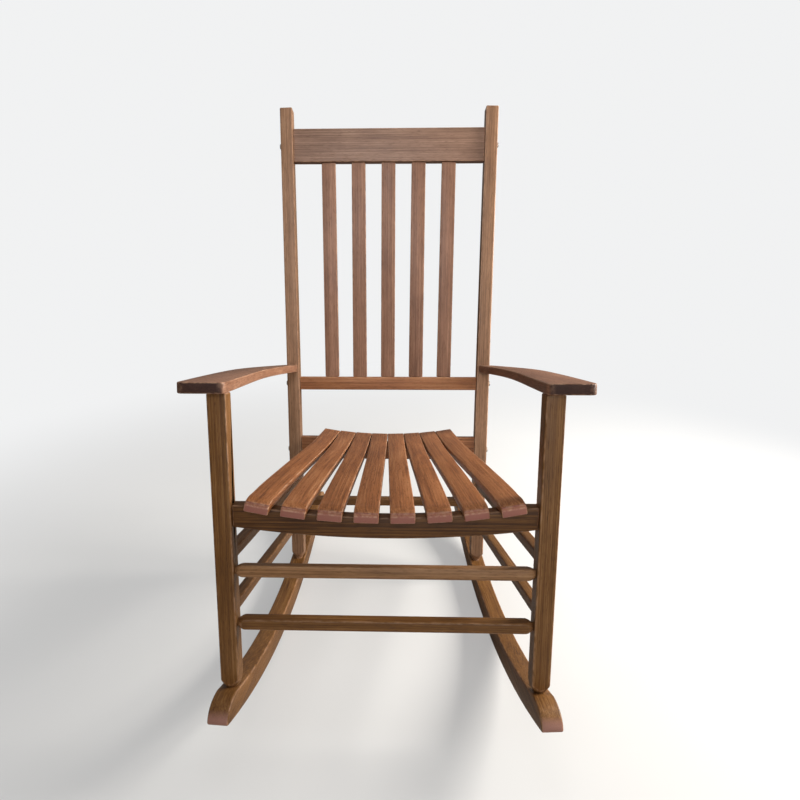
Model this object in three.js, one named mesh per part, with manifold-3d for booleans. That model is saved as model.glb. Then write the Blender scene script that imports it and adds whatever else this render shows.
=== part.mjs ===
// Slatted hardwood porch rocking chair, knock-down build, as separate solid pieces.
// Millimetres, +Z up, the sitter faces -Y, symmetric about X = 0. "left" is the sitter's left, at +X.
// Two leaning frames are built in their own groups: the front one (front legs, seat rail, stretchers)
// and the back one (posts, rails, back slats). Side stretchers, arms, rockers and slats tie them together.

import * as THREE from 'three';
import { mergeVertices } from 'three/addons/utils/BufferGeometryUtils.js';
import Module from 'manifold-3d';

const wasm = await Module();
wasm.setup();

// ---------------------------------------------------------------- driving dimensions

const GAP = 0.3; // clearance between pieces that touch
const DEEP = 60; // how far a cutting block reaches past what it cuts
const WIDE = 600; // the same, for a block that cuts across the whole chair

// Rockers: concentric arcs, toed in towards the rear to follow the narrower back.
const ROCKER_RADIUS = 1041; // underside
const ROCKER_CENTRE_Y = 315; // the arcs' centre stands over this place
const ROCKER_HEIGHT = 42; // between the two arcs
const ROCKER_WIDTH = 36;
const ROCKER_FRONT_Y = -85;
const ROCKER_REAR_Y = 776;
const ROCKER_NOSE = 50; // length of the rounded-down nose on top
const ROCKER_TIP = 5; // thickness left at the blunt tip
const NOSE_SHOULDER = { back: 11, rise: 6 }; // where the nose's curve turns down
const NOSE_STEPS = 7;
const ARC_CLEAR = 4; // no facet's corner comes nearer to a nose than this
const ROCKER_STEP = THREE.MathUtils.degToRad(2); // one facet of the arcs
const ROLL_BACK = THREE.MathUtils.degToRad(5.3); // from the pose it is drawn in to where it balances
const ROCKER_X = 267; // centre line at Y = 0
const ROCKER_TOE = 0.068; // sideways run of the centre line per unit of Y

// Front frame: its zero is the legs' front face at FRONT_Z, and it leans back.
const FRONT_Z = 606;
const FRONT_LEAN = 0.0547; // run back per unit of height
const LEG_SIDE = 31.2;
const LEG_X = 266.5;

// Back frame: its zero is the posts' front face at seat height.
const BACK_Y = 544.8;
const BACK_Z = 407.4;
const BACK_LEAN = 0.189;
const POST_SIDE = 31.2;
const POST_X = 240.5; // centre line at the frame's zero
const POST_SPLAY = 0.0252; // outward run per unit of height
const POST_TOP = 804; // above the frame's zero, along the post

// Round tenons with pencil-pointed shoulders.
const LEG_TENON = { radius: 9.5, length: 22, taper: 21 };
const ARM_TENON = { radius: 8, length: 11 };
const BAR_TENON = { radius: 6.5, length: 13, taper: 12 };
const PENCIL = 0.75; // radius of a pencil point where it leaves a square bar, per side of the bar
const ROUND_SIDES = 20;

// Stretchers: square bars.
const BAR_SIDE = 20;
const FRONT_BARS = { upper: 313.5, lower: 218 }; // heights above the floor at the legs' centre line
const SIDE_BARS = {
  upper: { front: 336.5, rear: 254.2 },
  lower: { front: 239, rear: 158 },
};
const REAR_BAR = 205;
const UPPER_BAR_TURN = THREE.MathUtils.degToRad(-13); // the upper front bar sits turned on its axis
const SKEW_ROOM = 0.5; // a side bar meets its leg askew, so its shoulder stands off this much more

// Arms: bowed boards that slope down to the posts.
const ARM_FRONT_Y = -9.3;
const ARM_FRONT_Z = 640.4; // top face at the front
const ARM_SLOPE = 0.144;
const ARM_THICKNESS = 18.2;
const ARM_CORNER = 13;
const ARM_FRONT = { inner: 249, outer: 325 }; // plan of the left arm, X
const ARM_REAR = { inner: 229.4, outer: 260 };
const ARM_NECK = 600; // distance back at which the arm has its rear width
const ARM_REACH = 660; // past the posts; the end is then cut to the posts' lean
const ARM_STEPS = 6;
// The long edges, front to rear and back again, as Bezier curves of [X, distance back] points.
const ARM_OUTER_CURVES = [
  [[333, 110], [339, 230], [338.5, 330]],
  [[338, 430], [312, 490], [ARM_REAR.outer, ARM_NECK]],
];
const ARM_INNER_CURVES = [
  [[254, 500], [264, 430], [264, 340]],
  [[264, 250], [253, 120], [ARM_FRONT.inner, ARM_CORNER]],
];
const ARM_BACK_TENON = { radius: 6, root: 15.4, length: 11, height: 556, drop: 10 };

// Seat rails: boards with a scooped top that the slats lie in.
const FRONT_RAIL = {
  top: 431.5,
  bottom: 393.5,
  scoop: 19,
  half: 228,
  belly: 17.5,
  thickness: 22,
  setback: 7,
};
const REAR_RAIL = { top: 371.5, bottom: 315, scoop: 13.5, half: 168, belly: 0, thickness: 25 };
const RAIL_TENON = { height: 22, thickness: 10, length: 13, root: 5 };
const RAIL_STEPS = 16;

// Seat slats: fanned, rolled over at the front.
const SLATS = 8;
const SLAT_WIDTH = 41;
const SLAT_THICKNESS = 15;
const SLAT_FRONT_Y = -21;
const SLAT_REAR_Y = 566;
const SLAT_FRONT_SPREAD = 207.5; // centre of the outer slat at the front
const SLAT_REAR_SPREAD = 146.3;
const SLAT_REST = 0.9; // height of a slat's underside above the rail under its centre line
const SLAT_STEPS = 24;
// A slat's underside above the straight line between its rests, as [share of the span, height].
const SLAT_WAVE = [[0, 0], [0.1, 1.5], [0.35, 0], [0.75, -5], [1, 0]];
const SLAT_TAIL_RISE = 1.5;
// The rolled front end, as [share of the overhang, height], and the nose's corners [run, height].
const SLAT_ROLL = [[-1, -6], [-0.55, -0.4]];
const SLAT_NOSE = [[5, 0.2], [1, -3.5]];

// Back rest.
const CREST = { bottom: 668.5, top: 752.5 }; // along the posts
const LOWER_RAIL = { bottom: 88, top: 121.5 };
const BACK_RAIL_THICKNESS = 20;
const BACK_SLATS = 5;
const BACK_SLAT_WIDTH = 35.5;
const BACK_SLAT_THICKNESS = 10;
const BACK_SLAT_PITCH = { bottom: 71.8, top: 76.7 };
const BACK_SLAT_TENON = 12;
const BACK_SLAT_SHOULDER = { width: 4, thickness: 2 };

// Knock-down hardware: a bolt through each post into a cross-dowel nut in the rail's end.
const BOLT = { radius: 3, length: 72, headRadius: 6.5, headHeight: 3.6 };
const HEAD_ROOM = 0.4; // between a bolt's head and its post
const REAR_BOLT_DROP = 4; // the rear seat rail's bolts sit this far below its middle
const NUT = { radius: 4.7, length: 14, inset: 34 };
const BOLT_SIDES = 12;

const HARDWOOD = { color: 0x7a4f2b, roughness: 0.62, metalness: 0 };
const STEEL = { color: 0x6d6a66, roughness: 0.4, metalness: 0.9 };

const SIDES = [['left', 1], ['right', -1]];

// ---------------------------------------------------------------- solids and joinery

function solidOf(geometry) {
  const bare = geometry.clone();
  bare.deleteAttribute('normal');
  bare.deleteAttribute('uv');
  const merged = mergeVertices(bare, 1e-4);
  return new wasm.Manifold(new wasm.Mesh({
    numProp: 3,
    vertProperties: new Float32Array(merged.attributes.position.array),
    triVerts: new Uint32Array(merged.index.array),
  }));
}

function geometryOf(solid) {
  const mesh = solid.getMesh();
  const geometry = new THREE.BufferGeometry();
  geometry.setAttribute('position', new THREE.BufferAttribute(new Float32Array(mesh.vertProperties), 3));
  geometry.setIndex(new THREE.BufferAttribute(new Uint32Array(mesh.triVerts), 1));
  const loose = geometry.toNonIndexed();
  loose.computeVertexNormals();
  return loose;
}

function join(...geometries) {
  return geometryOf(geometries.map(solidOf).reduce((sum, next) => sum.add(next)));
}

function common(a, b) {
  return geometryOf(solidOf(a).intersect(solidOf(b)));
}

function cutFrom(a, ...tools) {
  return geometryOf(tools.map(solidOf).reduce((rest, tool) => rest.subtract(tool), solidOf(a)));
}

function piece(name, geometry, finish, parent) {
  const mesh = new THREE.Mesh(geometry, new THREE.MeshStandardMaterial(finish));
  mesh.name = name;
  parent.add(mesh);
  return mesh;
}

// Cuts a socket in `housing` with a shape that is known in the frame of `tenoned`.
function socket(housing, tenoned, shape) {
  housing.updateWorldMatrix(true, false);
  tenoned.updateWorldMatrix(true, false);
  const toHousing = housing.matrixWorld.clone().invert().multiply(tenoned.matrixWorld);
  housing.geometry = cutFrom(housing.geometry, shape.clone().applyMatrix4(toHousing));
}

function box(x0, x1, y0, y1, z0, z1) {
  return new THREE.BoxGeometry(x1 - x0, y1 - y0, z1 - z0)
    .translate((x0 + x1) / 2, (y0 + y1) / 2, (z0 + z1) / 2);
}

// A turned solid along Z: the profile is [radius, z] pairs from one end to the other.
function turned(profile, sides = ROUND_SIDES) {
  const low = profile[0][1];
  const high = profile[profile.length - 1][1];
  const points = [[0, low], ...profile, [0, high]].map(([r, z]) => new THREE.Vector2(r, z));
  return new THREE.LatheGeometry(points, sides).rotateX(Math.PI / 2);
}

function dowel(radius, z0, z1, sides = ROUND_SIDES) {
  return turned([[radius, z0], [radius, z1]], sides);
}

// A shape drawn in (Y, Z) and given thickness along X, centred on X = 0.
function sideProfile(points, width) {
  const shape = new THREE.Shape(points.map(([y, z]) => new THREE.Vector2(y, z)));
  const turn = new THREE.Matrix4().makeBasis(
    new THREE.Vector3(0, 1, 0),
    new THREE.Vector3(0, 0, 1),
    new THREE.Vector3(1, 0, 0),
  );
  return new THREE.ExtrudeGeometry(shape, { depth: width, bevelEnabled: false })
    .translate(0, 0, -width / 2)
    .applyMatrix4(turn);
}

// A shape drawn in (X, Z) and given thickness along Y, from y0 towards +Y.
function frontProfile(points, y0, thickness) {
  const shape = new THREE.Shape(points.map(([x, z]) => new THREE.Vector2(x, z)));
  return new THREE.ExtrudeGeometry(shape, { depth: thickness, bevelEnabled: false })
    .rotateX(Math.PI / 2)
    .translate(0, y0 + thickness, 0);
}

// ---------------------------------------------------------------- the leaning frames

const chair = new THREE.Group();

const frontFrame = new THREE.Group();
frontFrame.position.set(0, 0, FRONT_Z);
frontFrame.rotation.x = -Math.atan(FRONT_LEAN);
chair.add(frontFrame);

const backFrame = new THREE.Group();
backFrame.position.set(0, BACK_Y, BACK_Z);
backFrame.rotation.x = -Math.atan(BACK_LEAN);
chair.add(backFrame);

const FRONT_COS = Math.cos(Math.atan(FRONT_LEAN));
const FRONT_SIN = Math.sin(Math.atan(FRONT_LEAN));
const BACK_COS = Math.cos(Math.atan(BACK_LEAN));
const BACK_SIN = Math.sin(Math.atan(BACK_LEAN));

// Height above the floor of a piece's centre line, given along its frame.
function alongLeg(height) {
  return (height - FRONT_Z + (LEG_SIDE / 2) * FRONT_SIN) / FRONT_COS;
}

function alongPost(height) {
  return (height - BACK_Z + (POST_SIDE / 2) * BACK_SIN) / BACK_COS;
}

function postX(along) {
  return POST_X + POST_SPLAY * along;
}

// Points on the centre lines, in the chair's frame, at a height above the floor.
function legAxis(side, height) {
  const along = alongLeg(height);
  return new THREE.Vector3(side * LEG_X, (LEG_SIDE / 2) * FRONT_COS + along * FRONT_SIN, height);
}

function postAxis(side, height) {
  const along = alongPost(height);
  return new THREE.Vector3(
    side * postX(along),
    BACK_Y + (POST_SIDE / 2) * BACK_COS + along * BACK_SIN,
    height,
  );
}

// ---------------------------------------------------------------- rockers

function rockerTop(y) {
  const radius = ROCKER_RADIUS - ROCKER_HEIGHT;
  return ROCKER_RADIUS - Math.sqrt(radius ** 2 - (y - ROCKER_CENTRE_Y) ** 2);
}

// Corners of an arc about the rocker's centre, one facet apart. They stand outside the circle and
// their places follow the roll, so the chair rests on the middle of one level facet.
function rockerArc(radius, y0, y1) {
  const phase = ROLL_BACK + ROCKER_STEP / 2;
  const first = Math.ceil((Math.asin((y0 - ROCKER_CENTRE_Y) / radius) - phase) / ROCKER_STEP);
  const last = Math.floor((Math.asin((y1 - ROCKER_CENTRE_Y) / radius) - phase) / ROCKER_STEP);
  const points = [];
  for (let i = first; i <= last; i += 1) {
    const angle = phase + i * ROCKER_STEP;
    const r = radius / Math.cos(ROCKER_STEP / 2);
    points.push([ROCKER_CENTRE_Y + r * Math.sin(angle), ROCKER_RADIUS - r * Math.cos(angle)]);
  }
  return points;
}

function underside(y) {
  return ROCKER_RADIUS - Math.sqrt(ROCKER_RADIUS ** 2 - (y - ROCKER_CENTRE_Y) ** 2);
}

// The nose: the top rolls over and comes down to the blunt tip.
function rockerNose(tipY, inward) {
  const start = new THREE.Vector2(tipY + inward * ROCKER_NOSE, rockerTop(tipY + inward * ROCKER_NOSE));
  const tip = new THREE.Vector2(tipY, underside(tipY) + ROCKER_TIP);
  const { back, rise } = NOSE_SHOULDER;
  const shoulder = new THREE.Vector2(tipY + inward * back, start.y + rise);
  const curve = new THREE.QuadraticBezierCurve(start, shoulder, tip);
  return curve.getPoints(NOSE_STEPS).map((p) => [p.x, p.y]);
}

function rockerOutline() {
  const bottom = rockerArc(ROCKER_RADIUS, ROCKER_FRONT_Y + ARC_CLEAR, ROCKER_REAR_Y - ARC_CLEAR);
  const topStart = ROCKER_FRONT_Y + ROCKER_NOSE + ARC_CLEAR;
  const topEnd = ROCKER_REAR_Y - ROCKER_NOSE - ARC_CLEAR;
  const top = rockerArc(ROCKER_RADIUS - ROCKER_HEIGHT, topStart, topEnd);
  return [
    [ROCKER_FRONT_Y, underside(ROCKER_FRONT_Y)],
    ...bottom,
    [ROCKER_REAR_Y, underside(ROCKER_REAR_Y)],
    ...rockerNose(ROCKER_REAR_Y, -1).reverse(),
    ...top.reverse(),
    ...rockerNose(ROCKER_FRONT_Y, 1),
  ];
}

const rockers = {};
for (const [label, side] of SIDES) {
  const rocker = piece(`rocker_${label}`, sideProfile(rockerOutline(), ROCKER_WIDTH), HARDWOOD, chair);
  rocker.position.x = side * ROCKER_X;
  rocker.rotation.z = side * Math.atan(ROCKER_TOE);
  rockers[side] = rocker;
}

// ---------------------------------------------------------------- legs and posts

// How far down a leaning leg reaches: where its centre line meets the rocker's top.
function footHeight(axis) {
  let height = ROCKER_HEIGHT;
  for (let i = 0; i < 8; i += 1) {
    height = rockerTop(axis(1, height).y);
  }
  return height + GAP;
}

// A square leg from the shoulder at z0 up to z1, pencil-pointed at the bottom to a round tenon.
function pointedLeg(side, z0, z1) {
  const bar = box(-side / 2, side / 2, 0, side, z0 - DEEP, z1);
  const { radius, length, taper } = LEG_TENON;
  const wide = side * PENCIL;
  const pencil = turned([[radius, z0 - length], [radius, z0], [wide, z0 + taper], [wide, z1 + DEEP]]);
  return common(bar, pencil.translate(0, side / 2, 0));
}

// The socket follows the tenon and the start of the point above it.
function legSocket(side, z0) {
  const { radius, length, taper } = LEG_TENON;
  const mouth = [side * PENCIL + GAP, z0 + taper];
  return turned([[radius + GAP, z0 - length - GAP], [radius + GAP, z0], mouth])
    .translate(0, side / 2, 0);
}

// The sloping underside of the arms, as a block that trims whatever stands above it.
const armGroup = new THREE.Group();
armGroup.position.set(0, ARM_FRONT_Y, ARM_FRONT_Z);
armGroup.rotation.x = -Math.atan(ARM_SLOPE);
chair.add(armGroup);
chair.updateMatrixWorld(true);

const legs = {};
for (const [label, side] of SIDES) {
  const foot = alongLeg(footHeight(legAxis));
  const tall = alongLeg(ARM_FRONT_Z);
  const leg = piece(`front_leg_${label}`, pointedLeg(LEG_SIDE, foot, tall), HARDWOOD, frontFrame);
  leg.position.x = side * LEG_X;
  leg.userData.foot = foot;
  socket(leg, armGroup, box(-WIDE, WIDE, -DEEP, DEEP * 2, -ARM_THICKNESS - GAP, DEEP));
  const { radius, length } = ARM_TENON;
  const shoulder = alongLeg(ARM_FRONT_Z - ARM_THICKNESS);
  const stub = dowel(radius, shoulder - DEEP / 2, shoulder + length).translate(0, LEG_SIDE / 2, 0);
  leg.userData.armTenon = dowel(radius + GAP, shoulder - DEEP / 2, shoulder + length + GAP)
    .translate(0, LEG_SIDE / 2, 0);
  leg.geometry = join(leg.geometry, stub);
  legs[side] = leg;
}

const posts = {};
for (const [label, side] of SIDES) {
  const foot = alongPost(footHeight(postAxis));
  const post = piece(`back_post_${label}`, pointedLeg(POST_SIDE, foot, POST_TOP), HARDWOOD, backFrame);
  post.position.x = side * POST_X;
  post.rotation.y = side * Math.atan(POST_SPLAY);
  post.userData.foot = foot;
  posts[side] = post;
}

for (const side of [1, -1]) {
  socket(rockers[side], legs[side], legSocket(LEG_SIDE, legs[side].userData.foot));
  socket(rockers[side], posts[side], legSocket(POST_SIDE, posts[side].userData.foot));
}

// ---------------------------------------------------------------- arms

// Plan of the left arm: a straight-fronted board that bows outwards, then narrows to the post.
function armPlan() {
  const outline = new THREE.Shape();
  const { inner, outer } = ARM_FRONT;
  outline.moveTo(inner + ARM_CORNER, 0);
  outline.lineTo(outer - ARM_CORNER, 0);
  outline.quadraticCurveTo(outer, 0, outer + 2, ARM_CORNER);
  for (const curve of ARM_OUTER_CURVES) {
    outline.bezierCurveTo(...curve.flat());
  }
  outline.lineTo(ARM_REAR.outer, ARM_REACH);
  outline.lineTo(ARM_REAR.inner, ARM_REACH);
  outline.lineTo(ARM_REAR.inner, ARM_NECK);
  for (const curve of ARM_INNER_CURVES) {
    outline.bezierCurveTo(...curve.flat());
  }
  outline.quadraticCurveTo(inner - 1, 0, inner + ARM_CORNER, 0);
  return outline;
}

const arms = {};
for (const [label, side] of SIDES) {
  const board = new THREE.ExtrudeGeometry(armPlan(), {
    depth: ARM_THICKNESS,
    bevelEnabled: false,
    curveSegments: ARM_STEPS,
  });
  board.translate(0, 0, -ARM_THICKNESS);
  const half = solidOf(board);
  const shape = geometryOf(side > 0 ? half : half.mirror([1, 0, 0]));
  const arm = piece(`arm_${label}`, shape, HARDWOOD, armGroup);
  socket(arm, backFrame, box(-WIDE, WIDE, -GAP, WIDE, -WIDE, WIDE));
  socket(arm, legs[side], legs[side].userData.armTenon);
  arms[side] = arm;
}

// Each arm's rear end has a round tenon that goes straight back into its post.
for (const side of [1, -1]) {
  const { radius, root, length, height, drop } = ARM_BACK_TENON;
  const along = alongPost(height) - drop;
  const across = new THREE.Object3D();
  across.position.set(side * postX(along), 0, along);
  across.rotation.x = -Math.PI / 2;
  backFrame.add(across);
  across.updateWorldMatrix(true, false);
  arms[side].updateWorldMatrix(true, false);
  const toArm = arms[side].matrixWorld.clone().invert().multiply(across.matrixWorld);
  const stub = dowel(radius, -root, length).applyMatrix4(toArm);
  arms[side].geometry = join(arms[side].geometry, stub);
  socket(posts[side], across, dowel(radius + GAP, -root, length + GAP));
  backFrame.remove(across);
}

// ---------------------------------------------------------------- seat rails

// Top edge of a scooped rail at a place across the seat, below the height of its ends.
function scoopDepth(rail, x) {
  const u = Math.min(1, Math.abs(x) / rail.half);
  return rail.scoop * (1 - u * u);
}

function railOutline(rail, halfAt, z0, z1) {
  const top = [];
  const bottom = [];
  for (let i = 0; i <= RAIL_STEPS; i += 1) {
    const u = 1 - (2 * i) / RAIL_STEPS;
    const reach = Math.min(rail.half, halfAt(z1));
    top.push([u * reach, z1 - scoopDepth(rail, u * reach)]);
    bottom.push([-u * halfAt(z0), z0 - rail.belly * (1 - u * u)]);
  }
  const flatBottom = [bottom[0], bottom[RAIL_STEPS]];
  return [
    ...(rail.belly > 0 ? bottom : flatBottom),
    [halfAt(z1), z1],
    ...top,
    [-halfAt(z1), z1],
  ];
}

const frontRailHalf = LEG_X - LEG_SIDE / 2 - GAP;
const frontRailTop = alongLeg(FRONT_RAIL.top);
const frontRailBottom = alongLeg(FRONT_RAIL.bottom);
const frontRailTenonZ = (frontRailTop + frontRailBottom) / 2;

function railTenons(grow) {
  const { height, thickness, length } = RAIL_TENON;
  const mid = FRONT_RAIL.setback + FRONT_RAIL.thickness / 2;
  const x = frontRailHalf + length + grow;
  return box(
    -x, x,
    mid - thickness / 2 - grow, mid + thickness / 2 + grow,
    frontRailTenonZ - height / 2 - grow, frontRailTenonZ + height / 2 + grow,
  );
}

const frontRail = piece('front_seat_rail', join(
  frontProfile(
    railOutline(FRONT_RAIL, () => frontRailHalf, frontRailBottom, frontRailTop),
    FRONT_RAIL.setback,
    FRONT_RAIL.thickness,
  ),
  ...[1, -1].map((side) => common(railTenons(0), side > 0
    ? box(frontRailHalf - RAIL_TENON.root, WIDE, -DEEP, DEEP, -WIDE, DEEP)
    : box(-WIDE, RAIL_TENON.root - frontRailHalf, -DEEP, DEEP, -WIDE, DEEP))),
), HARDWOOD, frontFrame);

for (const side of [1, -1]) {
  socket(legs[side], frontFrame, railTenons(GAP));
}

// Rails of the back frame stop at the posts' inner faces, which splay.
function postInner(along) {
  return postX(along) - POST_SIDE / 2 / Math.cos(Math.atan(POST_SPLAY)) - GAP;
}

function centredY(thickness) {
  return (POST_SIDE - thickness) / 2;
}

const rearRailTop = alongPost(REAR_RAIL.top);
const rearRailBottom = alongPost(REAR_RAIL.bottom);
const rearRail = piece('rear_seat_rail', frontProfile(
  railOutline(REAR_RAIL, postInner, rearRailBottom, rearRailTop),
  centredY(REAR_RAIL.thickness),
  REAR_RAIL.thickness,
), HARDWOOD, backFrame);

// ---------------------------------------------------------------- back rest

function straightRail(name, { bottom, top }) {
  const outline = [
    [-postInner(bottom), bottom],
    [postInner(bottom), bottom],
    [postInner(top), top],
    [-postInner(top), top],
  ];
  const y = centredY(BACK_RAIL_THICKNESS);
  return piece(name, frontProfile(outline, y, BACK_RAIL_THICKNESS), HARDWOOD, backFrame);
}

const crestRail = straightRail('crest_rail', CREST);
const lowerBackRail = straightRail('lower_back_rail', LOWER_RAIL);

// A back slat stands between the rails, with its thinned ends housed in both.
function backSlat(length, grow) {
  const x = BACK_SLAT_WIDTH / 2;
  const y = BACK_SLAT_THICKNESS / 2;
  const { width, thickness } = BACK_SLAT_SHOULDER;
  const body = box(-x, x, -y, y, GAP, length - GAP);
  const tongue = box(
    width - x - grow, x - width + grow,
    thickness - y - grow, y - thickness + grow,
    -BACK_SLAT_TENON - grow, length + BACK_SLAT_TENON + grow,
  );
  return { body, tongue };
}

for (let i = 0; i < BACK_SLATS; i += 1) {
  const place = i - (BACK_SLATS - 1) / 2;
  const foot = LOWER_RAIL.top;
  const rise = CREST.bottom - LOWER_RAIL.top;
  const lean = Math.atan((place * (BACK_SLAT_PITCH.top - BACK_SLAT_PITCH.bottom)) / rise);
  // the shoulders are square, so a fanned slat stops short by what its corners would rise
  const corner = (BACK_SLAT_WIDTH / 2) * Math.abs(Math.sin(lean));
  const length = rise / Math.cos(lean) - corner;
  const slat = piece(`back_slat_${i + 1}`, new THREE.BufferGeometry(), HARDWOOD, backFrame);
  slat.position.set(place * BACK_SLAT_PITCH.bottom, POST_SIDE / 2, foot + corner / 2);
  slat.rotation.y = lean;
  const { body, tongue } = backSlat(length, 0);
  slat.geometry = join(body, tongue);
  const housing = backSlat(length, GAP).tongue;
  socket(crestRail, slat, housing);
  socket(lowerBackRail, slat, housing);
}

// ---------------------------------------------------------------- stretchers

// A square bar between two centre lines, pencil-pointed at both ends to round tenons.
// `inset` is the distance from a centre line to the face that the bar meets.
function pointedBar(length, inset) {
  const { radius, length: deep, taper } = BAR_TENON;
  const wide = BAR_SIDE * PENCIL;
  const near = inset + GAP;
  const far = length - inset - GAP;
  const bar = box(-BAR_SIDE / 2, BAR_SIDE / 2, -BAR_SIDE / 2, BAR_SIDE / 2, near - deep, far + deep);
  const pencil = turned([
    [radius, near - deep],
    [radius, near],
    [wide, near + taper],
    [wide, far - taper],
    [radius, far],
    [radius, far + deep],
  ]);
  return common(bar, pencil);
}

function barSocket(length, inset) {
  const { radius, length: deep, taper } = BAR_TENON;
  const wide = BAR_SIDE * PENCIL + GAP;
  return turned([
    [radius + GAP, inset - deep],
    [radius + GAP, inset + GAP],
    [wide, inset + GAP + taper],
    [wide, length - inset - GAP - taper],
    [radius + GAP, length - inset - GAP],
    [radius + GAP, length - inset + deep],
  ]);
}

function stretcher(name, start, end, inset, turn, housings) {
  const run = end.clone().sub(start);
  const length = run.length();
  const bar = piece(name, pointedBar(length, inset), HARDWOOD, chair);
  const along = run.clone().normalize();
  const across = new THREE.Vector3(0, 0, 1).cross(along).normalize();
  const up = along.clone().cross(across);
  bar.quaternion.setFromRotationMatrix(new THREE.Matrix4().makeBasis(across, up, along));
  bar.rotateZ(turn);
  bar.position.copy(start);
  for (const housing of housings) {
    socket(housing, bar, barSocket(length, inset));
  }
}

for (const [level, height] of Object.entries(FRONT_BARS)) {
  const turn = level === 'upper' ? UPPER_BAR_TURN : 0;
  const ends = [legAxis(-1, height), legAxis(1, height)];
  stretcher(`front_stretcher_${level}`, ...ends, LEG_SIDE / 2, turn, [legs[1], legs[-1]]);
}

for (const [label, side] of SIDES) {
  for (const [level, { front, rear }] of Object.entries(SIDE_BARS)) {
    const ends = [legAxis(side, front), postAxis(side, rear)];
    const inset = LEG_SIDE / 2 + SKEW_ROOM;
    stretcher(`side_stretcher_${level}_${label}`, ...ends, inset, 0, [legs[side], posts[side]]);
  }
}

stretcher('rear_stretcher', postAxis(-1, REAR_BAR), postAxis(1, REAR_BAR), POST_SIDE / 2, 0, [
  posts[1],
  posts[-1],
]);

// ---------------------------------------------------------------- seat slats

// Side profile of a slat: a shallow S that swells in front, dips behind and rolls over the rail.
// It is drawn along the slat, with its underside passing through (0, 0) and (span, 0).
function slatOutline(span, overhang, tail) {
  const spine = new THREE.SplineCurve([
    ...SLAT_ROLL.map(([share, height]) => new THREE.Vector2(share * overhang, height)),
    ...SLAT_WAVE.map(([share, height]) => new THREE.Vector2(share * span, height)),
    new THREE.Vector2(span + tail, SLAT_TAIL_RISE),
  ]).getPoints(SLAT_STEPS).map((p) => [p.x, p.y]);
  const over = spine.map(([y, z]) => [y, z + SLAT_THICKNESS]).reverse();
  const [noseY, noseZ] = over.pop();
  return [...spine, ...over, ...SLAT_NOSE.map(([run, height]) => [noseY + run, noseZ + height])];
}

// A place on a rail's scooped top, in the chair's frame.
function onRail(frame, rail, along, y, x) {
  const point = new THREE.Vector3(x, y, along - scoopDepth(rail, x));
  return chair.worldToLocal(frame.localToWorld(point));
}

const FRONT_EDGE = FRONT_RAIL.setback + FRONT_RAIL.thickness; // slats bear on the facing edges
const REAR_EDGE = centredY(REAR_RAIL.thickness);

for (let i = 0; i < SLATS; i += 1) {
  const u = (2 * i) / (SLATS - 1) - 1;
  const fan = (u * (SLAT_REAR_SPREAD - SLAT_FRONT_SPREAD)) / (SLAT_REAR_Y - SLAT_FRONT_Y);
  const slatX = (y) => u * SLAT_FRONT_SPREAD + fan * (y - SLAT_FRONT_Y);
  const frontY = onRail(frontFrame, FRONT_RAIL, frontRailTop, FRONT_EDGE, slatX(0)).y;
  const rearY = onRail(backFrame, REAR_RAIL, rearRailTop, REAR_EDGE, slatX(BACK_Y)).y;
  const front = onRail(frontFrame, FRONT_RAIL, frontRailTop, FRONT_EDGE, slatX(frontY));
  const rear = onRail(backFrame, REAR_RAIL, rearRailTop, REAR_EDGE, slatX(rearY));
  const along = rear.clone().sub(front).normalize();
  // the slat lies in the scoop: its width follows the mean slope of the rails under it
  const frontSlope = (2 * FRONT_RAIL.scoop * front.x) / FRONT_RAIL.half ** 2;
  const rearSlope = (2 * REAR_RAIL.scoop * rear.x) / REAR_RAIL.half ** 2;
  const across = new THREE.Vector3(1, 0, (frontSlope + rearSlope) / 2);
  across.addScaledVector(along, -across.dot(along)).normalize();
  const up = across.clone().cross(along);
  const outline = slatOutline(rear.distanceTo(front), front.y - SLAT_FRONT_Y, SLAT_REAR_Y - rear.y);
  const slat = piece(`seat_slat_${i + 1}`, sideProfile(outline, SLAT_WIDTH), HARDWOOD, chair);
  slat.quaternion.setFromRotationMatrix(new THREE.Matrix4().makeBasis(across, along, up));
  slat.position.copy(front).addScaledVector(up, SLAT_REST);
}

// ---------------------------------------------------------------- bolts and nuts

// The bolt lies along the rail: its head bears on the post's outer face, its end is in the nut.
function bolt(grow) {
  const { radius, length, headRadius, headHeight } = BOLT;
  const shank = dowel(radius + grow, -length, grow > 0 ? DEEP : 1, BOLT_SIDES);
  if (grow > 0) {
    return shank;
  }
  return join(shank, dowel(headRadius, 0, headHeight, BOLT_SIDES));
}

const BOLTED_RAILS = [
  ['crest', crestRail, (CREST.bottom + CREST.top) / 2],
  ['lower_back', lowerBackRail, (LOWER_RAIL.bottom + LOWER_RAIL.top) / 2],
  ['rear_seat', rearRail, (rearRailBottom + rearRailTop) / 2 - REAR_BOLT_DROP],
];

for (const [rail, mesh, along] of BOLTED_RAILS) {
  for (const [label, side] of SIDES) {
    const screw = piece(`bolt_${rail}_${label}`, bolt(0), STEEL, backFrame);
    screw.position.set(side * (postX(along) + POST_SIDE / 2 + HEAD_ROOM), POST_SIDE / 2, along);
    screw.rotation.y = side * (Math.PI / 2);
    socket(posts[side], screw, bolt(GAP));
    socket(mesh, screw, bolt(GAP));
    const barrel = dowel(NUT.radius, 0, NUT.length, BOLT_SIDES);
    const nut = piece(`barrel_nut_${rail}_${label}`, barrel, STEEL, backFrame);
    nut.position.set(side * (postInner(along) - NUT.inset), POST_SIDE / 2 - NUT.length / 2, along);
    nut.rotation.x = -Math.PI / 2;
    const well = dowel(NUT.radius + GAP, -GAP, DEEP, BOLT_SIDES);
    socket(mesh, nut, well);
    socket(nut, screw, bolt(GAP));
  }
}

// ---------------------------------------------------------------- at rest

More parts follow.
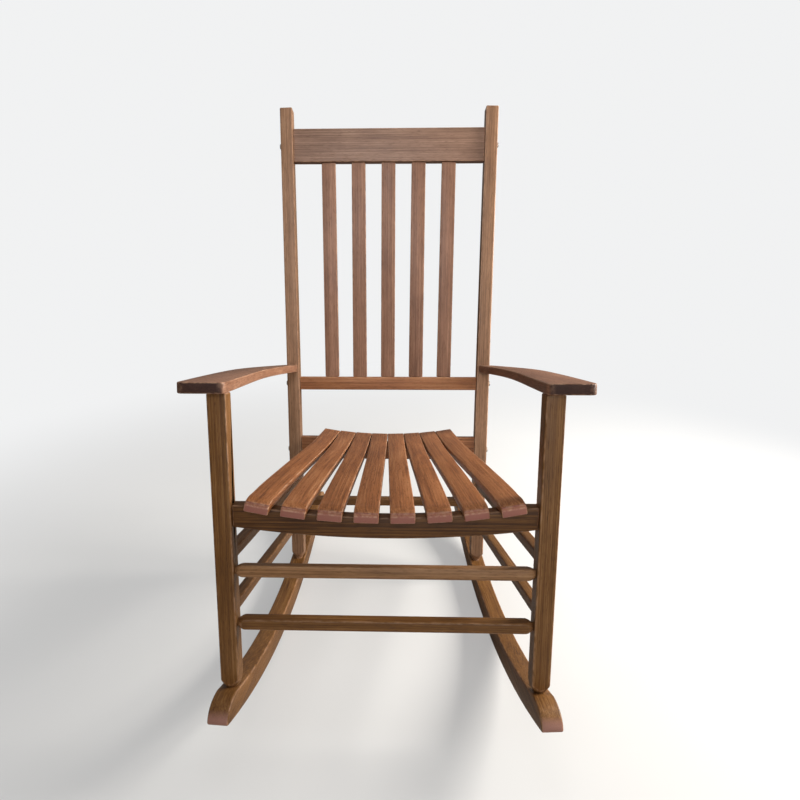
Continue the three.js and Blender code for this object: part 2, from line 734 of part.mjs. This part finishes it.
// Rolled back about the rockers' centre, which stays at its height above the floor.
const atRest = new THREE.Group();
atRest.add(chair);
const centre = new THREE.Vector3(0, ROCKER_CENTRE_Y, ROCKER_RADIUS);
chair.rotation.x = -ROLL_BACK;
chair.position.set(0, 0, ROCKER_RADIUS).sub(centre.applyEuler(chair.rotation));

// The zero goes to the floor under the middle of the whole chair.
const extent = new THREE.Box3().setFromObject(atRest, true);
atRest.position.set(0, -(extent.min.y + extent.max.y) / 2, -extent.min.z);

export default atRest;
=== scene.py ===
import math

import bpy
import numpy as np
from mathutils import Matrix, Vector


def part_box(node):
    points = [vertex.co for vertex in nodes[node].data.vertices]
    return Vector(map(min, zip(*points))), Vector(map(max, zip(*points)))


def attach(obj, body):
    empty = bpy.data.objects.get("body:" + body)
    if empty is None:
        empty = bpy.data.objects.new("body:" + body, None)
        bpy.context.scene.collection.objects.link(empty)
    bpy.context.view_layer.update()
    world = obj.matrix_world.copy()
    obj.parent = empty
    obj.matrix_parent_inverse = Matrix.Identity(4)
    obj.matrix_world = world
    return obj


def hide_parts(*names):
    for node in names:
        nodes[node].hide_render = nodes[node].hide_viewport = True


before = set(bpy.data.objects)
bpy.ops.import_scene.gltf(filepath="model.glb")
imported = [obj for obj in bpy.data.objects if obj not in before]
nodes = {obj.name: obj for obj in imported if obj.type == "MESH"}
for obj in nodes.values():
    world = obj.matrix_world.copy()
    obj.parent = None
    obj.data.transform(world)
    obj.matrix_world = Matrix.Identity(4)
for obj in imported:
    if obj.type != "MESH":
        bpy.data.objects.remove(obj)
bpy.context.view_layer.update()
scene = bpy.context.scene


# ---- The camera -----------------------------------------------------------------------------------
# A phone held at chest height, close in front of the chair and a little to its right, looking down
# into the seat. The wide lens makes the back taper upwards.

bpy.ops.object.camera_add(
    location=(0.0121, -1.1593, 0.9418),
    rotation=(math.radians(71.76), math.radians(0.305), math.radians(1.631)),
)
camera = bpy.context.object
camera.data.sensor_width = 36
camera.data.lens = 25.65
camera.data.shift_x = 0.0299
camera.data.shift_y = -0.0177
scene.camera = camera


# ---- The room -------------------------------------------------------------------------------------
# A pale painted floor that runs on into an even, nearly white backdrop. A wide soft light stands on
# the sitter's left, like a window; weaker ones light the back rest, the front and the seat.

bpy.ops.mesh.primitive_plane_add(size=80)
floor = bpy.context.object
floor.name = "floor"


def soft_light(name, place, aim, width, watts, colour, spread=180):
    """A square lamp that faces a point. A narrow spread keeps its light off the rest."""
    towards = Vector(aim) - Vector(place)
    bpy.ops.object.light_add(
        type="AREA",
        location=place,
        rotation=towards.to_track_quat("-Z", "Y").to_euler(),
    )
    lamp = bpy.context.object
    lamp.name = name
    lamp.data.size = width
    lamp.data.energy = watts
    lamp.data.color = colour
    lamp.data.spread = math.radians(spread)


soft_light("window_light", (2.5, 0.35, 1.4), (0, 0.1, 0.6), 1.1, 185, (1.0, 0.95, 0.88))
soft_light("back_rest_light", (-0.2, -2.0, 2.4), (0, 0.42, 0.95), 0.9, 4.2, (0.97, 0.97, 1.0), 55)
soft_light("front_light", (0.6, -3.0, 1.0), (0, 0, 0.35), 1.6, 32, (1.0, 0.95, 0.88))
soft_light("seat_light", (0.0, -0.2, 2.6), (0, 0, 0.4), 1.0, 7, (0.95, 0.97, 1.0))


class Shade:
    """One socket of a material. Sums and products on it add Math nodes to that material."""

    def __init__(self, tree, socket=None):
        self.tree = tree
        self.socket = socket

    def node(self, kind, settings=None, sockets=None, out=0):
        """Adds any node: its settings first, then the values or links of its sockets."""
        made = self.tree.nodes.new("ShaderNode" + kind)
        for name, value in (settings or {}).items():
            if name == "stops":
                ramp = made.color_ramp.elements
                while len(ramp) < len(value):
                    ramp.new(1)
                for stop, (place, colour) in zip(ramp, value):
                    stop.position = place
                    stop.color = (*colour, 1)
            else:
                setattr(made, name, value)
        for name, value in (sockets or {}).items():
            if isinstance(value, Shade):
                self.tree.links.new(value.socket, made.inputs[name])
            else:
                made.inputs[name].default_value = value
        return Shade(self.tree, made.outputs[out])

    def math(self, operation, a, b=0.0, clamp=False):
        return self.node("Math", {"operation": operation, "use_clamp": clamp}, {0: a, 1: b})

    def __add__(self, other):
        return self.math("ADD", self, other)

    def __radd__(self, other):
        return self.math("ADD", other, self)

    def __sub__(self, other):
        return self.math("SUBTRACT", self, other)

    def __rsub__(self, other):
        return self.math("SUBTRACT", other, self)

    def __mul__(self, other):
        return self.math("MULTIPLY", self, other)

    def __rmul__(self, other):
        return self.math("MULTIPLY", other, self)

    def __pow__(self, other):
        return self.math("POWER", self, other)

    def between(self, low, high):
        """0 below low, 1 above high, and a soft step in between."""
        return self.node("MapRange", {"interpolation_type": "SMOOTHSTEP"},
                         {"Value": self, "From Min": low, "From Max": high})

    def blend(self, first, second):
        """Colour: first where this value is 0, second where it is 1."""
        return self.node("Mix", {"data_type": "RGBA"}, {0: self, 6: first, 7: second}, out=2)


BACKDROP = (0.88, 0.885, 0.89, 1)
sky = bpy.data.worlds.new("studio_sky")
sky.use_nodes = True
scene.world = sky
air = Shade(sky.node_tree)
seen = air.node("LightPath", out="Is Camera Ray")
way = air.node("TexCoord", out="Generated")
FRONT_LIGHT = 0.18
BEHIND_LIGHT = 0.16  # added to it behind the chair
rearwards = air.node("SeparateXYZ", sockets={0: way}, out="Y").between(-0.4, 0.5)
level = rearwards * BEHIND_LIGHT + FRONT_LIGHT
strength = seen + (1 - seen) * level
background = air.tree.nodes["Background"]
air.tree.links.new(strength.socket, background.inputs["Strength"])
background.inputs["Color"].default_value = BACKDROP
scene.view_settings.view_transform = "Standard"

BLACK = (0, 0, 0, 1)
NEAR_GLOW = (0.34, 0.34, 0.34, 1)
DARKER_PAINT = (0.36, 0.36, 0.355, 1)
LIGHTER_PAINT = (0.40, 0.40, 0.395, 1)
paint = bpy.data.materials.new("floor_paint")
paint.use_nodes = True
coat = paint.node_tree.nodes["Principled BSDF"]
ground = Shade(paint.node_tree)
spot = ground.node("TexCoord", out="Object")
uneven = ground.node("TexNoise", sockets={"Vector": spot, "Scale": 3.0, "Detail": 4.0}, out="Fac")
away = ground.node("VectorMath", {"operation": "LENGTH"}, {0: spot}, out="Value")
far = away.between(0.6, 2.1)
matt = far.blend(uneven.blend(DARKER_PAINT, LIGHTER_PAINT), BLACK)
glow = ground.node("LightPath", out="Is Camera Ray").blend(BLACK, far.blend(NEAR_GLOW, BACKDROP))
ground.tree.links.new(matt.socket, coat.inputs["Base Color"])
ground.tree.links.new(glow.socket, coat.inputs["Emission Color"])
coat.inputs["Emission Strength"].default_value = 1.0
coat.inputs["Roughness"].default_value = 0.8
coat.inputs["Specular IOR Level"].default_value = 0.0
floor.data.materials.append(paint)


# ---- The runners ----------------------------------------------------------------------------------
# Two boards sawn to an arc from the same brown hardwood as the rest, oiled, with eased edges and a
# rounded-down nose at both ends. The legs and posts stand in round sockets in their top edge.

def long_axis(piece):
    """The way a piece's grain runs: the direction in which its corners spread furthest."""
    corners = np.array([v.co for v in piece.data.vertices])
    spread = np.linalg.svd(corners - corners.mean(0), full_matrices=False)[2][0]
    return Vector(spread)


# Each stain is a wood's dark, middle and light colour.
# DARK_BROWN, for the low parts, is partly the wood's own darker colour and partly painted shade,
# against the light that the pale floor throws up onto them.
DARK_BROWN = ((0.050, 0.019, 0.006), (0.160, 0.070, 0.019), (0.290, 0.148, 0.055))
PINK_ENDS = (0.300, 0.150, 0.115, 1)
# The pale edge colour below is partly wear and partly painted highlight, where rounded edges would
# catch the light.
WORN_AND_HIGHLIGHT = (0.450, 0.270, 0.170, 1)


def oiled_wood(piece, stain, tone, seed, ends, wear_and_highlight):
    """Oiled hardwood whose grain follows the piece: rings, fibres, pores, and paler edges that are
    partly wear and partly painted highlight.
    """
    material = bpy.data.materials.new(f"oiled_wood_{piece.name}")
    material.use_nodes = True
    tree = material.node_tree
    surface = tree.nodes["Principled BSDF"]
    start = Shade(tree)
    grain = long_axis(piece)
    side = grain.orthogonal().normalized()
    turn = Matrix((grain, side, grain.cross(side))).to_euler()
    corners = [v.co for v in piece.data.vertices]
    middle = turn.to_matrix() @ (sum(corners, Vector()) / len(corners))
    # Each piece is sawn from another place in the log, so no two have the same figure.
    heart = Vector((0.37 * seed, 0.055 + 0.013 * (seed % 5), 0.03 * (seed % 3)))
    place = start.node("TexCoord", out="Object")
    along = start.node("Mapping", sockets={
        "Vector": place, "Rotation": turn, "Location": heart - middle})

    def stretched(length, width):
        """The place in the wood, scaled by one number along the grain and another across it."""
        scales = (length, width, width)
        return start.node("VectorMath", {"operation": "MULTIPLY"}, {0: along, 1: scales})

    sawn_rings = {"wave_type": "RINGS", "rings_direction": "X", "wave_profile": "SAW"}
    rings = start.node("TexWave", sawn_rings, {
        "Vector": stretched(0.05, 1.0), "Scale": 95.0, "Distortion": 1.0, "Detail": 2.0,
        "Detail Scale": 0.3, "Detail Roughness": 0.5}, out="Fac")
    fibre = start.node("TexNoise", sockets={
        "Vector": stretched(16, 700), "Scale": 1.0, "Detail": 4.0, "Roughness": 0.65}, out="Fac")
    streak = start.node("TexNoise", sockets={
        "Vector": stretched(2.5, 300), "Scale": 1.0, "Detail": 3.0, "Roughness": 0.6}, out="Fac")
    cloud = start.node("TexNoise", sockets={
        "Vector": stretched(9, 26), "Scale": 1.0, "Detail": 3.0, "Roughness": 0.55}, out="Fac")
    specks = start.node("TexNoise", sockets={
        "Vector": stretched(70, 1100), "Scale": 1.0, "Detail": 1.0, "Roughness": 0.4}, out="Fac")
    pores = specks.between(0.58, 0.70)

    depth = rings ** 2 * -0.12 + fibre * 0.65 + streak * 0.85 + cloud * 0.45 - 0.44 + tone
    dark, body, light = stain
    stops = [(0.18, dark), (0.54, body), (0.90, light)]
    colour = depth.node("ValToRGB", {"stops": stops}, {"Fac": depth})
    colour = (pores * 0.45).blend(colour, tuple(0.6 * c for c in dark) + (1,))

    facing = start.node("VectorMath", {"operation": "DOT_PRODUCT"}, {
        0: start.node("TexCoord", out="Normal"), 1: tuple(grain)}, out="Value")
    end = start.math("ABSOLUTE", facing).between(0.50, 0.95)
    dots = start.node("TexVoronoi", sockets={"Vector": along, "Scale": 900.0}, out="Distance")
    mottle = dots * 0.3 + cloud * 0.5 + 0.55
    colour = (end * mottle).blend(colour, ends)

    rubbed = start.node("Attribute", {"attribute_name": "rubbed"}, out="Fac")
    patch = start.node("TexNoise", sockets={
        "Vector": stretched(60, 160), "Scale": 1.0, "Detail": 3.0}, out="Fac").between(0.34, 0.66)
    # Paler rounded edges: partly wear, partly painted highlight.
    worn_and_highlit = rubbed * patch * wear_and_highlight
    colour = worn_and_highlit.blend(colour, WORN_AND_HIGHLIGHT)

    rough = 0.30 + fibre * 0.18 + pores * 0.14 + end * 0.14 + worn_and_highlit * 0.10 + cloud * 0.10
    relief = fibre * 0.55 + streak * 0.30 - pores * 0.9 + dots * end * 0.4
    bump = start.node("Bump", sockets={"Height": relief, "Strength": 0.32, "Distance": 0.0006})
    tree.links.new(colour.socket, surface.inputs["Base Color"])
    tree.links.new(rough.socket, surface.inputs["Roughness"])
    tree.links.new(bump.socket, surface.inputs["Normal"])
    surface.inputs["IOR"].default_value = 1.34
    return material


def blank_for(node, name):
    """A new piece sawn to a CAD part's shape, with whole flat faces in place of loose triangles."""
    bpy.ops.object.select_all(action="DESELECT")
    piece = bpy.data.objects.new(name, nodes[node].data.copy())
    scene.collection.objects.link(piece)
    piece.data.materials.clear()
    piece.select_set(True)
    bpy.context.view_layer.objects.active = piece
    bpy.ops.object.mode_set(mode="EDIT")
    bpy.ops.mesh.select_all(action="SELECT")
    bpy.ops.mesh.remove_doubles(threshold=0.00001)
    bpy.ops.mesh.dissolve_limited(angle_limit=math.radians(0.4), delimit=set())
    bpy.ops.mesh.customdata_custom_splitnormals_clear()
    bpy.ops.object.mode_set(mode="OBJECT")
    return piece


SHARP = math.radians(32)
NARROW = 0.0043  # a flat strip up to this wide gets some of the paler edge colour too: partly wear, partly painted highlight


def round_over(piece, radius, shortest, across=True, clamp=False):
    """Rounds the sharp edges that are longer than shortest, and marks the roundings for the paler edge
    colour, which is partly wear and partly painted highlight.
    Edges that run across the grain stay sharp unless across is set."""
    mesh = piece.data
    grain = long_axis(piece)
    for _ in ("flat", "rounded"):
        mesh.materials.append(None)
    bpy.ops.object.mode_set(mode="EDIT")
    bpy.ops.mesh.select_mode(type="EDGE")
    bpy.ops.mesh.select_all(action="DESELECT")
    bpy.ops.mesh.edges_select_sharp(sharpness=SHARP)
    bpy.ops.object.mode_set(mode="OBJECT")
    for edge in mesh.edges:
        start, end = (mesh.vertices[v].co for v in edge.vertices)
        run = end - start
        follows = across or abs(run.normalized().dot(grain)) > 0.8
        edge.select = edge.select and run.length > shortest and follows
    bpy.ops.object.mode_set(mode="EDIT")
    bpy.ops.mesh.bevel(offset=radius, segments=4, profile=0.5, clamp_overlap=clamp, material=1)
    bpy.ops.object.mode_set(mode="OBJECT")
    rubbed_and_highlit_share = [1.0] * len(mesh.vertices)
    for face in mesh.polygons:
        if face.material_index == 0:
            ends = [(mesh.vertices[a].co, mesh.vertices[b].co) for a, b in face.edge_keys]
            longest = max((a - b).length for a, b in ends)
            share = 0.3 if face.area < NARROW * longest else 0.0
            for v in face.vertices:
                rubbed_and_highlit_share[v] = min(rubbed_and_highlit_share[v], share)
    rubbed = mesh.attributes.new("rubbed", "FLOAT", "POINT")
    rubbed.data.foreach_set("value", rubbed_and_highlit_share)
    mesh.polygons.foreach_set("material_index", [0] * len(mesh.polygons))
    mesh.materials.clear()
    bpy.ops.object.shade_smooth_by_angle(angle=SHARP)


def wooden(node, stain, tone, seed, rounding, ends=PINK_ENDS, wear_and_highlight=0.6):
    """One wooden part of the chair, from its CAD part to its oiled finish."""
    piece = blank_for(node, f"{node}_wood")
    round_over(piece, **rounding)
    piece.data.materials.append(oiled_wood(piece, stain, tone, seed, ends, wear_and_highlight))
    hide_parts(node)
    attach(piece, "root")


RUNNER_EDGES = {"radius": 0.003, "shortest": 0.0042, "clamp": True}
for seed, side in enumerate(("left", "right")):
    wooden(f"rocker_{side}", DARK_BROWN, 0.0, 3 + seed, RUNNER_EDGES, wear_and_highlight=0.35)


# ---- The legs and posts ---------------------------------------------------------------------------
# Square hardwood bars with eased edges, sharpened like pencils at the foot and glued into the
# runners. The posts are one long bar each and carry the whole back.

TAN_BROWN = ((0.088, 0.039, 0.018), (0.245, 0.127, 0.065), (0.385, 0.228, 0.135))
LEG_EDGES = {"radius": 0.0028, "shortest": 0.025}
for seed, side in enumerate(("left", "right")):
    wooden(f"front_leg_{side}", DARK_BROWN, 0.03, 11 + seed, LEG_EDGES, wear_and_highlight=0.4)
    wooden(f"back_post_{side}", TAN_BROWN, 0.04 * seed, 17 + seed, LEG_EDGES, wear_and_highlight=0.5)


# ---- The stretchers -------------------------------------------------------------------------------
# Thinner square bars, well rounded and sharpened at both ends, glued into the legs and posts.

STRETCHERS = [
    "front_stretcher_upper",
    "front_stretcher_lower",
    "side_stretcher_upper_left",
    "side_stretcher_upper_right",
    "side_stretcher_lower_left",
    "side_stretcher_lower_right",
    "rear_stretcher",
]
OLIVE_BROWN = ((0.085, 0.036, 0.012), (0.240, 0.118, 0.048), (0.380, 0.215, 0.105))
BAR_EDGES = {"radius": 0.0032, "shortest": 0.0042, "clamp": True}
for seed, bar in enumerate(STRETCHERS):
    stain = OLIVE_BROWN if seed == 0 else DARK_BROWN
    wooden(bar, stain, 0.05 - 0.04 * (seed % 3), 23 + seed, BAR_EDGES, wear_and_highlight=0.25)


# ---- The rails ------------------------------------------------------------------------------------
# Boards across the chair: two scooped ones carry the seat, two straight ones hold the back slats.

RED_BROWN = ((0.085, 0.026, 0.008), (0.255, 0.094, 0.032), (0.400, 0.190, 0.085))
# The greyer stain below, for the crest rail, is painted sheen: its greyness stands for the haze of sky
# light on the rail's leaning face.
SHEEN_GREYED_BROWN = ((0.090, 0.043, 0.026), (0.225, 0.128, 0.083), (0.365, 0.235, 0.165))
RAIL_EDGES = {"radius": 0.0025, "shortest": 0.015, "across": False}
BACK_RAIL_EDGES = {"radius": 0.0025, "shortest": 0.030, "across": False}
# The front seat rail is toned darker still: painted shade, for the shadow under the rolled front ends
# of the seat slats.
wooden("front_seat_rail", DARK_BROWN, -0.20, 31, RAIL_EDGES, wear_and_highlight=0.3)
wooden("rear_seat_rail", RED_BROWN, 0.0, 32, RAIL_EDGES)
wooden("crest_rail", SHEEN_GREYED_BROWN, 0.0, 33, BACK_RAIL_EDGES)
wooden("lower_back_rail", RED_BROWN, 0.10, 34, BACK_RAIL_EDGES)


# ---- The arms -------------------------------------------------------------------------------------
# Flat boards sawn to a bow, rounded over on all edges. Their roundings are paler, partly as wear and
# partly as painted highlight.

DRY_BROWN = ((0.085, 0.035, 0.019), (0.220, 0.105, 0.060), (0.355, 0.195, 0.122))
# The near-black end colour below is painted shade: the arms' cut front ends look down and forwards,
# into shadow, and get it instead of the end grain's own colour.
PAINTED_SHADE_ARM_ENDS = (0.028, 0.009, 0.006, 1)
ARM_EDGES = {"radius": 0.0022, "shortest": 0.0028}
for seed, side in enumerate(("left", "right")):
    tone = 0.09 * seed - 0.03
    wooden(f"arm_{side}", DRY_BROWN, tone, 41 + seed, ARM_EDGES, ends=PAINTED_SHADE_ARM_ENDS, wear_and_highlight=0.5)


# ---- The seat slats -------------------------------------------------------------------------------
# Eight bent slats that fan out to the front and roll over the front rail, where their cut ends show.

RED_ENDS = (0.270, 0.105, 0.080, 1)
SLAT_EDGES = {"radius": 0.0019, "shortest": 0.004}
for number in range(1, 9):
    tone = 0.03 * (number % 3) - 0.02
    wooden(f"seat_slat_{number}", RED_BROWN, tone, 50 + number, SLAT_EDGES, RED_ENDS, 0.6)


# ---- The back slats -------------------------------------------------------------------------------
# Five thin flat slats, housed in the crest rail and the lower rail, that spread a little upwards.

BACK_SLAT_EDGES = {"radius": 0.0022, "shortest": 0.030, "across": False}
for number in range(1, 6):
    tone = 0.03 * (number % 2)
    wooden(f"back_slat_{number}", DRY_BROWN, tone, 60 + number, BACK_SLAT_EDGES, wear_and_highlight=0.6)


# ---- The bolts and nuts ---------------------------------------------------------------------------
# Zinc-plated bolts with a low round head and a sunk drive pull the posts onto three rails; each
# runs into a barrel nut let into the rail from behind.

def dull_zinc(name):
    """Zinc plate, greyed and spotted by the weather."""
    material = bpy.data.materials.new(name)
    material.use_nodes = True
    tree = material.node_tree
    surface = tree.nodes["Principled BSDF"]
    start = Shade(tree)
    place = start.node("TexCoord", out="Object")
    spots = start.node("TexNoise", sockets={"Vector": place, "Scale": 700.0, "Detail": 3.0}, out="Fac")
    tarnish = spots.between(0.42, 0.68)
    colour = tarnish.blend((0.34, 0.32, 0.30, 1), (0.16, 0.11, 0.08, 1))
    rough = 0.34 + tarnish * 0.3
    bump = start.node("Bump", sockets={"Height": spots, "Strength": 0.25, "Distance": 0.0002})
    tree.links.new(colour.socket, surface.inputs["Base Color"])
    tree.links.new(rough.socket, surface.inputs["Roughness"])
    tree.links.new(bump.socket, surface.inputs["Normal"])
    surface.inputs["Metallic"].default_value = 0.9
    return material


def pick(bolt, way):
    """Selects a bolt's faces that look within 26 degrees of +X (way = 1) or -X (way = -1)."""
    bpy.ops.object.mode_set(mode="OBJECT")
    for item in (*bolt.data.vertices, *bolt.data.edges):
        item.select = False
    for polygon in bolt.data.polygons:
        polygon.select = polygon.normal.x * way > 0.9
    bpy.ops.object.mode_set(mode="EDIT")
    bpy.ops.mesh.select_mode(type="FACE")


def push(distance):
    """Moves the picked faces along X and leaves walls behind them."""
    bpy.ops.mesh.extrude_region_move(TRANSFORM_OT_translate={"value": (distance, 0, 0)})


zinc = dull_zinc("dull_zinc")
HEAD_HEIGHT = 0.0036
HEAD_ROUNDING = 0.0016
DRIVE_RADIUS = 0.0028
DRIVE_DEPTH = 0.0026
SHANK_RADIUS = 0.003
for rail in ("crest", "lower_back", "rear_seat"):
    for side, outwards in (("left", 1), ("right", -1)):
        low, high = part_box(f"bolt_{rail}_{side}")
        centre = (low + high) / 2
        radius = (high.z - low.z) / 2
        face = high.x if outwards > 0 else low.x
        bpy.ops.object.select_all(action="DESELECT")
        bpy.ops.mesh.primitive_cylinder_add(
            vertices=36,
            radius=radius,
            depth=HEAD_HEIGHT,
            location=(face - outwards * HEAD_HEIGHT / 2, centre.y, centre.z),
            rotation=(0, outwards * math.pi / 2, 0),
        )
        bolt = bpy.context.object
        bolt.name = f"bolt_{rail}_{side}_head"
        bpy.ops.object.transform_apply(location=True, rotation=True, scale=True)

        # Known fault: the second pick also takes the last strip of the rounding, and the inset folds
        # it over. So the drive is wider than DRIVE_RADIUS, and the third pick takes the folded faces
        # too and draws them out with the shank, as a wide tube that is hidden in the wood.
        pick(bolt, outwards)
        bpy.ops.mesh.bevel(offset=HEAD_ROUNDING, segments=4, profile=0.6)
        pick(bolt, outwards)
        bpy.ops.mesh.inset(thickness=radius - HEAD_ROUNDING - DRIVE_RADIUS)
        push(-outwards * DRIVE_DEPTH)
        pick(bolt, -outwards)
        bpy.ops.mesh.inset(thickness=radius - SHANK_RADIUS)
        push(-outwards * (high.x - low.x - HEAD_HEIGHT))
        bpy.ops.object.mode_set(mode="OBJECT")
        bpy.ops.object.shade_smooth_by_angle(angle=math.radians(35))
        bolt.data.materials.append(zinc)
        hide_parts(f"bolt_{rail}_{side}")
        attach(bolt, "root")

        nut = nodes[f"barrel_nut_{rail}_{side}"]
        for material_slot in nut.material_slots:
            material_slot.material = zinc
